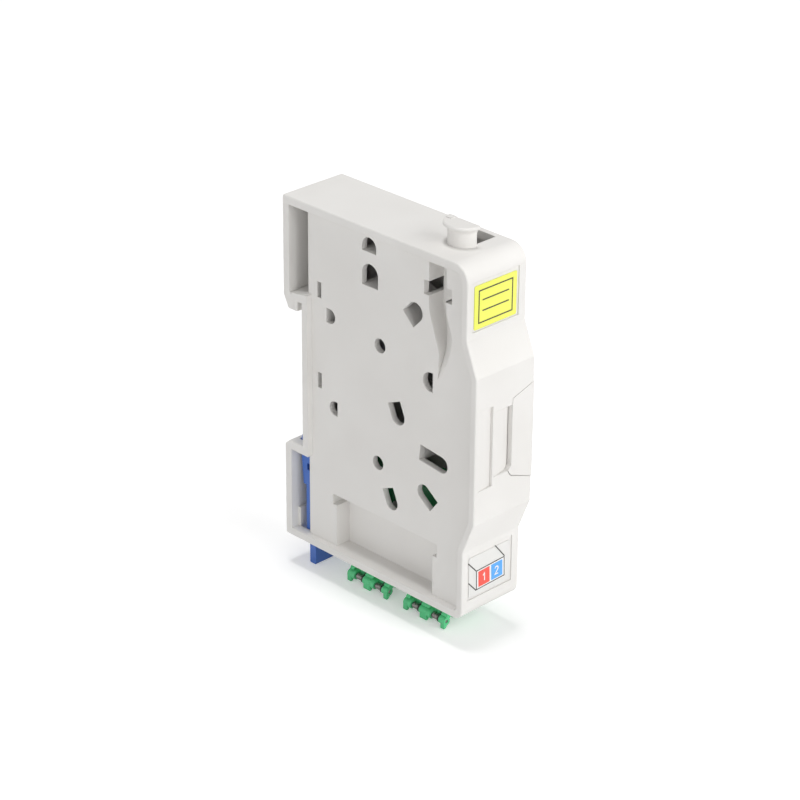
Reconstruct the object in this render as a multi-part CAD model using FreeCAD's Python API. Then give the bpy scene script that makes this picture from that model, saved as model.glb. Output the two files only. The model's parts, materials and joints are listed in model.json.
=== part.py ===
import FreeCAD, Part
import math
import os

# DIN rail fibre box: a one-module housing that clips on a 35 mm top hat rail, stores the
# fibre in a tray and holds two duplex couplers whose ports face down behind sprung shutters.
# Millimetres. X runs along the rail, +Y goes into the rail, +Z is up.
# The origin is the middle of the rail seat, the face that lies on the front of the rail.

V = FreeCAD.Vector

# Ports and couplers, which set the depth and much of the height of the housing
port_pitch = 6.25
port_side_wall = 1.45
port_depth = 4.9
port_wall = 1.2
coupler_side_wall = 0.25
coupler_thickness = 9.4
coupler_outer_length = 16.2
coupler_inner_length = 12.7
coupler_drop = 4.6
coupler_spacing = 5.35
coupler_rear = 10.8
coupler_front_room = 9.15
coupler_play = 0.3
coupler_slot_play = 0.2
flange_height = 2.8
flange_wing = 1.2
flange_above_split = 0.7
flange_play = 0.15
post_wall = 1.2
post_below_flange = 3.0
post_above_flange = 2.4
key_width = 3.4
key_depth = 2.1
web_wall = 1.0
holder_radius = 1.5
sleeve_outer = 0.8
sleeve_inner = 0.625
sleeve_play = 0.05
sleeve_length = 6.8
sleeve_lip = 0.4
sleeve_slit = 0.16
coupler_chamfer = 0.25

# Fibre loop in the tray
loop_radius = 13.05
loop_height = 21.2
loop_shift = 2.4
loop_top_drop = 27.6
loop_above_coupler = 11.9
guide_wall = 1.2
guide_top = 4.5
loop_gap = 9.0
loop_tail = 2.6
boss_wall = 0.75
boss_bore = 2.35
boss_window = 1.7
boss_lip = 1.8
boss_upper_shift = 0.45
boss_lower_drop = 7.7

# Housing
box_width = 18.0
bulge_depth = 3.1
bulge_top_drop = 24.9
bulge_bottom_rise = 25.1
bulge_slant = 7.85
front_wall = 1.6
end_wall = 2.0
lug_wall = 2.1
plate_inset = 1.5
plate_wall = 1.5
top_front_radius = 4.2
bottom_front_radius = 2.6
corner_radius = 0.6
edge_radius = 0.35

# Rail and its seat
rail_height = 35.0
rail_play = 0.25
rail_flange_gap = 1.35
hook_reach = 2.2
hook_thickness = 2.9
lug_depth = 5.8
seat_wall = 1.9
tray_rear_wall = 1.5
hollow_front = 0.9
window_wall = 2.5
hook_lip = 0.6
lug_notch_depth = 1.2
lug_notch_width = 0.9

# Label places on the front
label_recess = 0.3
label_recess_width = 14.1
label_recess_shift = -0.25
label_recess_height = 11.4
label_recess_margin = 4.1
label_recess_rise = 0.4
label_thickness = 0.15
label_play = 0.6
label_play_low = 0.35
label_play_high = 0.95
label_corner = 0.4

# Grip and closing tab on the bulge
tab_width = 6.55
tab_end_low = -7.45
tab_end_high = 8.15
tab_side_low = -11.35
tab_side_high = 11.6
tab_shoulder = 1.4
tab_lean = 0.1
tab_foot = 1.0
tab_foot_rise = 0.9
tab_depth = 1.3
pad_step_offset = 6.1
wide_pad_low = -9.4
wide_pad_high = 9.8
wide_pad_depth = 0.65
wide_pad_margin = 0.8
narrow_pad_depth = 1.3
narrow_pad_offset = 0.4
pad_backing = 1.0

# Cover
cover_wall = 1.5
cover_rim = 0.9
cover_gap = 0.12
cover_rear = 1.3
cover_pull = 20.0
cover_pin_play = 0.05
cover_pin_reach = 7.5

# Shutters, with the pin, spring and washer that each hinge has
pin_radius = 0.4
pin_play = 0.04
pin_out = 1.9
pin_below = 1.2
pin_end_play = 0.15
lug_outer_width = 1.2
lug_boss_radius = 1.0
lug_blade_drop = 1.7
lug_blade_out = 0.95
lug_blade_wall = 0.55
lug_root_rise = 2.5
lug_bend_rise = 0.3
blade_step = 0.35
ear_width = 1.05
ear_radius = 1.05
ear_play = 0.05
spring_outer = 0.72
spring_wire = 0.28
spring_length = 2.05
spring_leg_rise = 0.7
washer_radius = 0.95
washer_wall = 0.45
door_wall = 1.05
door_gap = 0.15
door_play = 0.12
door_margin = 0.3
door_strip_gap = 0.25
door_lip = 0.35
door_lip_wall = 0.6
door_lip_inset = 1.2

# Bay for the couplers, pressed in from the near side
bay_wall = 1.1
bay_rear = 9.9
bay_front_from_panel = 10.7
bay_height = 15.1
bay_notch_height = 2.6
bay_notch_depth = 1.3

# Cable inlet and its strain relief
inlet_from_panel = 10.4
inlet_width = 5.4
inlet_left = 0.4
inlet_length = 6.95
post_shift = 0.15
post_radius = 3.65
post_neck = 3.0
post_root = 0.5
collar_radius = 4.65
collar_flare = 1.3
collar_rim = 0.7
collar_edge = 0.3
stop_length = 1.9
stop_height = 0.15
stop_thickness = 1.6
scoop_depth = 4.3
scoop_top_drop = 1.0
scoop_wall = 1.2
tie_height = 3.3
tie_drop = 4.5
tie_rear_reach = 3.9
tie_rear_start = 2.3
tie_front_reach = 2.75
tie_notch_reach = 1.65

# Rail latch
latch_side_room = 2.5
latch_wall = 2.0
latch_head = 3.7
latch_head_length = 11.4
latch_nose = 1.7
latch_overlap = 2.6
latch_travel = 3.2
latch_play = 0.25
latch_foot_drop = 7.5
latch_foot_inset = 1.0
latch_slot_width = 4.6
latch_slot_length = 9.6
latch_rib_height = 4.8
latch_rib_wall = 3.8
latch_hole_width = 0.9
latch_hole_height = 1.7
latch_hole_rise = 4.8
latch_spring_radius = 1.35
latch_spring_wire = 0.45
latch_spring_turns = 4
spring_seat = 1.4

# Splice holder
splice_side_play = 1.9
splice_count = 4
splice_radius = 1.15
splice_length = 14.0
splice_thickness = 2.85
splice_low = 4.0
splice_floor = 0.35
splice_lift = 0.1
splice_mouth = 0.86
hook_slit_height = 3.8
hook_slit_width = 1.3
hook_slit_rear = 3.75
hook_slit_below = 2.2
hook_slit_above = 2.2
hook_wall = 1.2
hook_clearance = 0.7

port_width = port_pitch - port_side_wall
coupler_width = 2 * (port_pitch + coupler_side_wall)
coupler_pitch = coupler_width + coupler_spacing
coupler_length = coupler_outer_length + coupler_inner_length
box_depth = coupler_rear + coupler_pitch + coupler_width + coupler_front_room
box_height = coupler_length - coupler_drop + loop_above_coupler + loop_height + loop_top_drop
latch_width = box_width - 2 * latch_side_room
latch_foot_width = latch_width - 2 * latch_foot_inset

near_x = -box_width / 2
far_x = box_width / 2
top_z = box_height / 2
bottom_z = -box_height / 2
panel_y = -box_depth
bulge_y = panel_y - bulge_depth
bulge_top = top_z - bulge_top_drop
bulge_bottom = bottom_z + bulge_bottom_rise
rail_top = rail_height / 2
rail_bottom = -rail_height / 2
inner_top = top_z - end_wall
inner_bottom = bottom_z + end_wall
plate_out = near_x + plate_inset
plate_in = plate_out + plate_wall
cover_in = far_x - cover_wall
hollow_y = lug_depth - lug_wall
tray_rear = -(hollow_front + tray_rear_wall)
lower_lug_top = rail_bottom - rail_play - 0.15
window_high = rail_top + rail_play + window_wall
window_low = lower_lug_top - lug_wall
inlet_centre = panel_y + inlet_from_panel
through = 1.0

coupler_x1 = cover_in - coupler_play
coupler_x0 = coupler_x1 - coupler_thickness
coupler_low = bottom_z - coupler_drop
coupler_high = coupler_low + coupler_length
coupler_split = coupler_low + coupler_outer_length
coupler_centres = [-(coupler_rear + coupler_width / 2) - n * coupler_pitch for n in range(2)]
port_x0 = coupler_x0 + port_wall
port_x1 = port_x0 + port_depth
sleeve_x = (port_x0 + port_x1) / 2
bay_x = coupler_x0 - coupler_play - bay_wall
bay_top = bottom_z + bay_height
flange_low = coupler_split + flange_above_split
flange_high = flange_low + flange_height
pin_x = coupler_x0 - pin_out
pin_z = coupler_low - pin_below

loop_centre = -box_depth / 2 + loop_shift
loop_top = top_z - loop_top_drop
loop_bottom = coupler_high + loop_above_coupler
loop_gap_low = (loop_bottom + loop_top) / 2
boss_places = [
    (loop_centre - boss_upper_shift, loop_top),
    (loop_centre, loop_bottom - boss_lower_drop),
]


def block(x0, x1, y0, y1, z0, z1):
    return Part.makeBox(x1 - x0, y1 - y0, z1 - z0, V(x0, y0, z0))


def rounded_face(points, place):
    """Face of a polygon given as (u, v, radius); place turns (u, v) into a point in space."""
    edges = []
    starts = []
    count = len(points)
    for n in range(count):
        u, v, radius = points[n]
        corner = V(u, v, 0)
        before = V(points[n - 1][0], points[n - 1][1], 0)
        after = V(points[(n + 1) % count][0], points[(n + 1) % count][1], 0)
        to_before = (before - corner).normalize()
        to_after = (after - corner).normalize()
        if radius <= 0:
            starts.append((corner, corner, None))
            continue
        half = to_before.getAngle(to_after) / 2
        cut = radius / math.tan(half)
        middle = (to_before + to_after).normalize() * (radius / math.sin(half) - radius)
        starts.append((corner + to_before * cut, corner + to_after * cut, corner + middle))
    for n in range(count):
        enter, leave, middle = starts[n]
        if middle is not None:
            edges.append(Part.Arc(place(enter), place(middle), place(leave)).toShape())
        following = starts[(n + 1) % count][0]
        if (following - leave).Length > 1e-6:
            edges.append(Part.LineSegment(place(leave), place(following)).toShape())
    return Part.Face(Part.Wire(edges))


def prism_x(points, x0, x1):
    """Polygon in (y, z, radius), stretched along X."""
    return rounded_face(points, lambda p: V(x0, p.x, p.y)).extrude(V(x1 - x0, 0, 0))


def prism_y(points, y0, y1):
    """Polygon in (x, z, radius), stretched along Y."""
    return rounded_face(points, lambda p: V(p.x, y0, p.y)).extrude(V(0, y1 - y0, 0))


def rod_x(y, z, radius, x0, x1):
    return Part.makeCylinder(radius, x1 - x0, V(x0, y, z), V(1, 0, 0))


def rod_y(x, z, radius, y0, y1):
    return Part.makeCylinder(radius, y1 - y0, V(x, y0, z), V(0, 1, 0))


def rod_z(x, y, radius, z0, z1):
    return Part.makeCylinder(radius, z1 - z0, V(x, y, z0), V(0, 0, 1))


def front_line(inset, radius_top, radius_bottom, z_top, z_bottom):
    """The front of the side outline from top to bottom, moved into the box by inset."""
    turn = math.atan2(bulge_depth, bulge_slant)
    shift = inset * math.tan(turn / 2)
    return [
        (panel_y + inset, z_top, radius_top),
        (panel_y + inset, bulge_top + bulge_slant - shift, corner_radius),
        (bulge_y + inset, bulge_top - shift, corner_radius),
        (bulge_y + inset, bulge_bottom + shift, corner_radius),
        (panel_y + inset, bulge_bottom - bulge_slant + shift, corner_radius),
        (panel_y + inset, z_bottom, radius_bottom),
    ]


def outline():
    hook_low = rail_top - hook_reach
    hook_back = rail_flange_gap + hook_thickness
    seat_high = rail_top + rail_play
    return [(lug_depth, top_z, corner_radius)] + front_line(
        0, top_front_radius, bottom_front_radius, top_z, bottom_z
    ) + [
        (lug_depth, bottom_z, corner_radius),
        (lug_depth, lower_lug_top - 1.2, corner_radius),
        (lug_depth - 1.4, lower_lug_top, corner_radius),
        (0, lower_lug_top, 0),
        (0, seat_high, 0),
        (rail_flange_gap, seat_high, 0),
        (rail_flange_gap, hook_low, 0.3),
        (hook_back, hook_low, 0.5),
        (lug_depth, seat_high + hook_lip, corner_radius),
    ]


def near_recess():
    """The shallow recess of the near side, with the mouths of both lug hollows."""
    return prism_x(
        [(hollow_y, inner_top, 0)]
        + front_line(front_wall, top_front_radius - front_wall, 1.0, inner_top, inner_bottom)
        + [
            (hollow_y, inner_bottom, 0),
            (hollow_y, window_low, 0),
            (-seat_wall, window_low, 0),
            (-seat_wall, window_high, 0),
            (hollow_y, window_high - 0.8, 0),
        ],
        near_x - through,
        plate_out,
    )


def tray_space():
    return prism_x(
        [(tray_rear, inner_top, 0)]
        + front_line(front_wall, top_front_radius - front_wall, 1.0, inner_top, inner_bottom)
        + [(tray_rear, inner_bottom, 0)],
        plate_in,
        far_x + through,
    )


def cover_seat():
    return prism_x(cover_outline(0), cover_in, far_x + through)


def cover_outline(gap):
    edge = cover_rim + gap
    return (
        [(-cover_rear - gap, top_z - edge, 0)]
        + front_line(edge, top_front_radius - edge, bottom_front_radius - edge, top_z - edge, bottom_z + edge)
        + [(-cover_rear - gap, bottom_z + edge, 0)]
    )


def lug_hollows():
    upper = prism_x(
        [
            (-hollow_front, inner_top, 0),
            (-hollow_front, window_high, 0),
            (hollow_y, window_high - 0.8, 0),
            (hollow_y, inner_top, 0),
        ],
        near_x - through,
        cover_in,
    )
    lower = block(near_x - through, cover_in, -hollow_front, hollow_y, inner_bottom, window_low)
    notch = prism_x(
        [
            (hollow_y - 0.1, window_high, 0),
            (hollow_y - 0.1 - lug_notch_width, window_high, 0),
            (hollow_y - lug_notch_width / 2, window_high - lug_notch_depth, 0),
        ],
        near_x - through,
        plate_in,
    )
    return [upper, lower, notch]


def tab_outline(gap):
    """Front view of the cover's closing tab in (x, z); gap widens it for the notch."""
    left = far_x - tab_width
    return [
        (left - gap, tab_end_low + tab_foot_rise, 0),
        (left - tab_foot - gap, tab_end_low - gap, 0),
        (left - tab_lean - gap, tab_end_low - tab_shoulder - gap, 0),
        (far_x, tab_side_low - gap, 0),
        (far_x + through, tab_side_low - gap, 0),
        (far_x + through, tab_side_high + gap, 0),
        (far_x, tab_side_high + gap, 0),
        (left + tab_lean - gap, tab_end_high + tab_shoulder + gap, 0),
        (left - gap, tab_end_high + gap, 0),
    ]


def front_cuts():
    tab_left = far_x - tab_width
    step = tab_left - pad_step_offset
    outside = bulge_y - through
    cuts = [prism_y(tab_outline(cover_gap), outside, bulge_y + tab_depth + cover_gap)]
    cuts.append(grip_pad(near_x + wide_pad_margin, step, wide_pad_depth, wide_pad_low, wide_pad_high))
    cuts.append(grip_pad(step + narrow_pad_offset, tab_left, narrow_pad_depth, tab_end_low, tab_end_high))
    for low in label_lows():
        left = label_recess_shift - label_recess_width / 2
        high = low + label_recess_height
        cuts.append(
            block(left, left + label_recess_width, panel_y - through, panel_y + label_recess, low, high)
        )
    return cuts


def grip_pad(x0, x1, depth, z0, z1):
    """Ramp that starts at the surface and gets deeper towards x1."""
    outside = bulge_y - through
    points = [(x0, outside), (x1, outside), (x1, bulge_y + depth), (x0, bulge_y)]
    corners = [V(x, y, z0) for x, y in points]
    return Part.Face(Part.makePolygon(corners + corners[:1])).extrude(V(0, 0, z1 - z0))


def label_lows():
    """Lower edges of the upper and the lower label recess."""
    upper = top_z - label_recess_margin - label_recess_height
    lower = bottom_z + label_recess_margin + label_recess_rise
    return [upper, lower]


def scoop(grow):
    """Hollow of the strain relief: a deep channel at the top whose floor rises and whose rear
    wall swings forward below, until it runs out in a tip. With grow it is the wall behind it."""
    sections = [
        (-3.0, 2.4, -2.75, 1.0, 1.0),
        (1.5, 2.4, -2.75, 1.0, 1.0),
        (6.0, 2.35, -2.8, 1.0, 1.0),
        (10.5, 2.25, -2.9, 1.0, 0.97),
        (13.1, 1.65, -3.7, 0.96, 0.55),
        (15.0, 0.95, -4.4, 0.90, 0.2),
        (18.0, -0.1, -4.6, 0.70, -0.03),
        (19.9, -0.74, -4.3, 0.51, -0.05),
        (22.0, -0.78, -3.6, 0.34, -0.06),
        (24.5, -0.7, -2.4, 0.15, -0.07),
        (26.8, -0.6, -1.2, 0.0, -0.08),
    ]
    top = inner_top - scoop_top_drop
    outer = plate_out - 0.5
    rails = [[], [], [], []]
    drops = []
    for drop, rear, front, deep_rear, deep_front in sections:
        y_rear = inlet_centre + rear + grow
        y_front = inlet_centre + front - grow
        x_rear = plate_out + deep_rear * scoop_depth + grow
        x_front = plate_out + deep_front * scoop_depth + grow
        drops.append(drop)
        corners = ((outer, y_rear), (x_rear, y_rear), (x_front, y_front), (outer, y_front))
        for rail, (x, y) in zip(rails, corners):
            rail.append(V(x, y, top - drop))
    body = smooth_tube(rails, drops)
    ceiling = inner_top + 0.2 if grow else top
    return body.common(block(outer - 1, far_x, panel_y - box_depth, box_depth, bottom_z, ceiling))


def smooth_tube(rails, places):
    """Solid with four long sides, each spanned between two smooth curves through their points."""
    edges = []
    for rail in rails:
        curve = Part.BSplineCurve()
        curve.interpolate(Points=rail, Parameters=places)
        edges.append(curve.toShape())
    faces = [Part.makeRuledSurface(edges[n - 1], edges[n]) for n in range(len(edges))]
    for end in (0, -1):
        corners = [rail[end] for rail in rails]
        faces.append(Part.Face(Part.makePolygon(corners + corners[:1])))
    shell = Part.Compound(faces)
    shell.sewShape()
    body = Part.makeSolid(shell.Shells[0])
    if body.Volume < 0:
        body.reverse()
    return body


def tie_cuts():
    """Window through the scoop's rear wall, for the tie that holds the cable, and the notch
    in its front wall where the tie comes out again."""
    high = inner_top - scoop_top_drop - tie_drop
    low = high - tie_height
    y_front = inlet_centre - tie_front_reach
    y_start = inlet_centre + tie_rear_start
    y_back = inlet_centre + tie_rear_reach
    deep = plate_out + scoop_depth + scoop_wall + through
    return [
        block(near_x - through, deep, y_start, y_back, low, high),
        block(near_x - through, plate_out + scoop_depth, y_front - tie_notch_reach, y_front, low, high),
    ]


def strain_relief_post():
    """Half-round post with a flared collar beside the cable inlet, and a low stop on its rear end."""
    centre = inlet_centre - post_shift
    neck_top = top_z + post_neck
    flare_top = neck_top + collar_flare
    rim_top = flare_top + collar_rim
    flare_middle = V(post_radius + 0.3 * (collar_radius - post_radius), 0, neck_top + 0.6 * collar_flare)
    lip = collar_radius - collar_edge
    profile = Part.Wire([
        Part.makePolygon([
            V(0, 0, rim_top), V(0, 0, top_z - post_root), V(post_radius, 0, top_z - post_root),
            V(post_radius, 0, neck_top),
        ]),
        Part.Arc(V(post_radius, 0, neck_top), flare_middle, V(collar_radius, 0, flare_top)).toShape(),
        Part.LineSegment(V(collar_radius, 0, flare_top), V(collar_radius, 0, rim_top - collar_edge)).toShape(),
        Part.Arc(
            V(collar_radius, 0, rim_top - collar_edge),
            V(lip + collar_edge * math.sqrt(0.5), 0, rim_top - collar_edge * (1 - math.sqrt(0.5))),
            V(lip, 0, rim_top),
        ).toShape(),
        Part.LineSegment(V(lip, 0, rim_top), V(0, 0, rim_top)).toShape(),
    ])
    round_post = Part.Face(profile).revolve(V(0, 0, 0), V(0, 0, 1), 360)
    round_post.translate(V(inlet_left, centre, 0))
    size = 3 * collar_radius
    keep = block(inlet_left - size, inlet_left, centre - size, centre + size, 0, 2 * top_z)
    stop_end = centre + lip
    stop = rod_z(inlet_left, centre, lip, rim_top - collar_edge, rim_top + stop_height).common(
        block(
            inlet_left - stop_thickness, inlet_left, stop_end - stop_length, stop_end + through,
            0, 2 * top_z,
        )
    )
    return round_post.common(keep).fuse(stop)


def racetrack(radius, x0, x1):
    """Upright rounded bar around the loop's two centres."""
    body = block(x0, x1, loop_centre - radius, loop_centre + radius, loop_bottom, loop_top)
    for z in (loop_bottom, loop_top):
        body = body.fuse(rod_x(loop_centre, z, radius, x0, x1))
    return body.removeSplitter()


def retainers():
    """Fibre retainers as (y, z, angle, width, reach, wall): the middle of the flat side, the way
    the tab points in degrees from +Y towards +Z, its size, and whether it needs its own wall."""
    ring_front = loop_centre - loop_radius
    ring_back = loop_centre + loop_radius
    slant_y = loop_centre - loop_radius * math.cos(math.radians(46))
    slant_z = loop_top + loop_radius * math.sin(math.radians(46))
    return [
        (loop_centre + 3.05, top_z - 6.5, 90, 4.4, 3.4, True),
        (loop_centre + 2.75, loop_top + loop_radius, 90, 5.0, 5.3, True),
        (-6.7, loop_top + 1.85, 180, 3.5, 2.8, True),
        (slant_y, slant_z, 134, 4.5, 5.3, True),
        (inlet_centre + 0.9, loop_top - 3.4, 0, 4.6, 3.0, True),
        (ring_back, loop_bottom + 0.8, 0, 3.5, 2.6, False),
        (loop_centre - 4.9, loop_bottom + 9.1, 247, 4.1, 5.4, True),
        (ring_front, loop_bottom - 0.1, 187, 3.9, 8.6, False),
        (loop_centre - 3.15, coupler_high - 0.95, 247, 3.6, 5.3, True),
        (loop_centre - 17.6, coupler_high - 0.15, 37, 3.9, 5.9, True),
    ]


def retainer_shape(width, reach, x0, x1, root=0.0):
    """D shape with its flat side on the local origin, pointing along +Y before it is turned."""
    radius = width / 2
    straight = max(reach - radius, 0.2)
    shape = block(x0, x1, -root, straight, -radius, radius).fuse(rod_x(straight, 0, radius, x0, x1))
    return shape.cut(block(x0 - 1, x1 + 1, -width, -root, -width, width)).removeSplitter()


def turned(shape, y, z, angle):
    shape.rotate(V(0, 0, 0), V(1, 0, 0), angle)
    shape.translate(V(0, y, z))
    return shape


def retainer_walls():
    parts = []
    for y, z, angle, width, reach, walled in retainers():
        tab = retainer_shape(width, reach, guide_top - guide_wall, guide_top, guide_wall / 2)
        parts.append(turned(tab, y, z, angle))
        root = block(plate_in - 0.3, guide_top, -guide_wall, 0, -width / 2 - 0.6, width / 2 + 0.6)
        if walled:
            parts.append(turned(root, y, z, angle))
    return parts


def retainer_holes():
    holes = []
    for y, z, angle, width, reach, _ in retainers():
        hole = retainer_shape(width, reach, near_x - through, plate_in + 0.05)
        holes.append(turned(hole, y, z, angle))
    return holes


def loop_wall():
    ring = racetrack(loop_radius, plate_in - 0.3, guide_top).cut(
        racetrack(loop_radius - guide_wall, plate_in - through, guide_top + through)
    )
    ends = []
    for low, high in ((coupler_high - through, loop_bottom - loop_tail), (loop_gap_low, loop_gap_low + loop_gap)):
        ends.append(
            block(
                plate_in, guide_top + through,
                loop_centre - loop_radius - 1, loop_centre + loop_radius + 1, low, high,
            )
        )
    return ring.cut(ends)


def bosses():
    radius = boss_bore + boss_wall
    return [rod_x(y, z, radius, plate_in - 0.3, guide_top) for y, z in boss_places]


def boss_bores():
    """Bores of the sockets for the cover's pins. Each is open towards the rear and below, and
    has a window through the plate."""
    reach = boss_bore + boss_wall + through
    cuts = []
    for y, z in boss_places:
        cuts.append(rod_x(y, z, boss_window, near_x - through, guide_top))
        cuts.append(rod_x(y, z, boss_bore, plate_in, guide_top + through))
        cuts.append(block(plate_in, guide_top + through, y, y + reach, z - reach, z + boss_lip))
    return cuts


def coupler_bay():
    """Walls of the pocket that the near side has beside the couplers."""
    front = panel_y + bay_front_from_panel
    body = block(
        plate_out, bay_x + bay_wall, front - bay_notch_depth, -bay_rear + bay_notch_depth,
        inner_bottom - 0.3, bay_top + bay_notch_depth,
    )
    return [body]


def bay_cuts():
    front = panel_y + bay_front_from_panel
    pocket = block(near_x - through, bay_x, front, -bay_rear, inner_bottom, bay_top)
    notch_low = bay_top - bay_notch_height
    rear_notch = block(
        near_x - through, bay_x, -bay_rear - 0.1, -bay_rear + bay_notch_depth, notch_low, bay_top
    )
    front_notch = block(
        near_x - through, bay_x, front - bay_notch_depth, front + 0.1, notch_low - 0.6, bay_top
    )
    return [pocket, rear_notch, front_notch]


def coupler_posts():
    """Ribs beside each coupler, slotted for its flange."""
    low = flange_low - post_below_flange
    high = flange_high + post_above_flange
    body_half = coupler_width / 2 + coupler_slot_play
    first, second = coupler_centres
    spans = [
        (first + body_half, first + body_half + flange_wing + post_wall),
        (second + body_half, first - body_half),
        (second - body_half - flange_wing - post_wall, second - body_half),
    ]
    posts = [block(bay_x + 0.2, coupler_x1 - 1.6, y0, y1, low, high) for y0, y1 in spans]
    posts.append(
        block(plate_in - 0.3, bay_x + 0.4, spans[0][0], -bay_rear + bay_notch_depth + 0.4, low, high)
    )
    posts.append(block(plate_in - 0.3, bay_x + 0.4, spans[2][0], spans[2][1] + 0.4, low, high))
    return posts


def coupler_clearances():
    """Room for both couplers: their bodies, their flanges and the mouths in the bottom wall."""
    cuts = []
    half = coupler_width / 2
    for centre in coupler_centres:
        body = half + coupler_slot_play
        wing = half + flange_wing + flange_play
        cuts.append(
            block(
                coupler_x0 - coupler_play, far_x + through, centre - body, centre + body,
                bottom_z - through, coupler_high + coupler_play,
            )
        )
        cuts.append(
            block(
                coupler_x0 - coupler_play, far_x + through, centre - wing, centre + wing,
                flange_low - flange_play, flange_high + flange_play,
            )
        )
    return cuts


def latch_ways():
    """Slots for the rail latch through the lower lug's top and bottom walls."""
    half = latch_width / 2 + latch_play
    front = -hollow_front
    back = latch_back() + latch_play
    top_slot = block(-half, half, front, back, window_low - 0.5, lower_lug_top + through)
    bottom_slot = block(-half, half, front, back, bottom_z - through, inner_bottom + 0.5)
    return [top_slot, bottom_slot]


def latch_back():
    return -hollow_front + latch_play + latch_head


def latch_guides():
    """Ribs in the lower lug that back the latch, and the lug that carries its spring."""
    back = latch_back() - latch_head + latch_wall + latch_play
    rib_top = inner_bottom + latch_rib_height
    half = latch_width / 2
    parts = []
    for side in (-1, 1):
        outer = side * (half + 0.4)
        inner = side * (half + 0.4 - latch_rib_wall)
        parts.append(
            block(
                min(outer, inner), max(outer, inner), back + 1.3, hollow_y + 0.3,
                inner_bottom - 0.3, rib_top,
            )
        )
    seat_z = spring_low()
    parts.append(
        block(
            -latch_slot_width / 2 + 0.5, latch_slot_width / 2 - 0.5, -hollow_front + latch_play,
            hollow_y + 0.3, seat_z - spring_seat, seat_z,
        )
    )
    return parts


def spring_low():
    """Height of the fixed end of the latch spring."""
    return latch_slot_low() + spring_seat + 0.15


def latch_slot_low():
    return latch_step_z() - latch_slot_length


def latch_step_z():
    """Underside of the latch's thick head."""
    return rail_bottom - rail_play - latch_head_length


def slits():
    """Openings over the two hooks that keep the splice sleeves in their column."""
    cuts = []
    for low in slit_places():
        cuts.append(
            block(
                near_x - through, plate_in + 0.1, -hook_slit_rear - hook_slit_width, -hook_slit_rear,
                low, low + hook_slit_height,
            )
        )
    return cuts


def slit_places():
    return [splice_low - hook_slit_below - hook_slit_height, splice_low + splice_length + hook_slit_above]


def splice_hooks():
    hooks = []
    for low in slit_places():
        hooks.append(
            block(
                guide_top + hook_clearance, guide_top + hook_clearance + hook_wall,
                -hook_slit_rear - hook_slit_width, tray_rear + 0.3, low, low + hook_slit_height,
            )
        )
    return hooks


def soft_edges(body):
    """Rounds the long edges of both side faces."""
    edges = []
    for edge in body.Edges:
        box = edge.BoundBox
        flat = box.XLength < 1e-6 and abs(abs(box.XMin) - box_width / 2) < 1e-6
        if flat:
            edges.append(edge)
    return body.makeFillet(edge_radius, edges)


def base_shell():
    body = soft_edges(prism_x(outline(), near_x, far_x))
    body = body.cut([near_recess(), tray_space(), cover_seat()] + lug_hollows())
    backing = block(
        plate_in, cover_in - 0.4, bulge_y + front_wall - 0.2, bulge_y + front_wall + pad_backing,
        tab_side_low - 2.0, tab_side_high + 2.0,
    )
    relief = scoop(scoop_wall).common(block(plate_out, far_x, panel_y, 0, bottom_z, top_z))
    body = body.fuse([backing, relief, loop_wall()] + coupler_bay() + coupler_posts() + bosses())
    body = body.fuse(retainer_walls() + splice_hooks() + latch_guides() + [strain_relief_post()])
    inlet = block(
        inlet_left, inlet_left + inlet_length,
        inlet_centre - inlet_width / 2, inlet_centre + inlet_width / 2,
        inner_top - through, top_z + through,
    )
    body = body.cut([scoop(0), inlet] + tie_cuts() + bay_cuts() + coupler_clearances())
    body = body.cut(boss_bores() + retainer_holes() + slits() + latch_ways() + front_cuts())
    return body.removeSplitter()


def side_cover():
    """Snap-on cover of the far side, with the tab that closes on the bulge."""
    plate = prism_x(cover_outline(cover_gap), cover_in, far_x)
    tab = prism_y(tab_outline(0), bulge_y, bulge_y + tab_depth).common(
        block(near_x, far_x, bulge_y, 0, bottom_z, top_z)
    )
    bridge = prism_y(tab_outline(0), bulge_y, bulge_y + front_wall + cover_rim).common(
        block(cover_in, far_x, bulge_y, 0, bottom_z, top_z)
    )
    parts = [tab, bridge]
    for y, z in boss_places:
        radius = boss_bore - cover_pin_play
        parts.append(rod_x(y, z, radius, cover_in - cover_pin_reach, cover_in + 0.2))
    half = coupler_width / 2 + coupler_slot_play - cover_gap
    for centre in coupler_centres:
        parts.append(block(cover_in, far_x, centre - half, centre + half, bottom_z, inner_bottom))
    return plate.fuse(parts).removeSplitter()


def rail_latch():
    """Blue foot: a nose behind the rail's lower edge, a thick head and a strip that is pulled down."""
    front = -hollow_front + latch_play
    strip_back = front + latch_wall
    back = latch_back()
    shoulder = rail_bottom - rail_play - 0.5
    nose_front = rail_flange_gap + 0.1
    nose_top = rail_bottom + latch_overlap
    step = latch_step_z()
    foot = bottom_z - latch_foot_drop
    half = latch_width / 2
    side = [
        (front, foot, 0.3),
        (front, shoulder, 0.2),
        (nose_front, shoulder, 0),
        (nose_front, nose_top, 0.2),
        (nose_front + 0.5, nose_top, 0.2),
        (nose_front + latch_nose, shoulder, 0.3),
        (back, shoulder - 1.6, 0.3),
        (back - 0.8, step, 0.2),
        (strip_back, step, 0),
        (strip_back, foot, 0.3),
    ]
    body = prism_x(side, -half, half)
    trim = (latch_width - latch_foot_width) / 2
    for x0 in (-half - through, half - trim):
        body = body.cut(block(x0, x0 + trim + through, front - 1, back + 1, foot - 1, bottom_z + 1.0))
    low = latch_slot_low()
    slot = block(-latch_slot_width / 2, latch_slot_width / 2, front - 1, back + 1, low, step - 0.6)
    hole_back = strip_back - 0.3
    hole_low = step + latch_hole_rise - latch_hole_height / 2
    hole = block(
        -half - 1, half + 1, hole_back - latch_hole_width, hole_back,
        hole_low, hole_low + latch_hole_height,
    )
    return body.cut([slot, hole]).removeSplitter()


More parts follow.
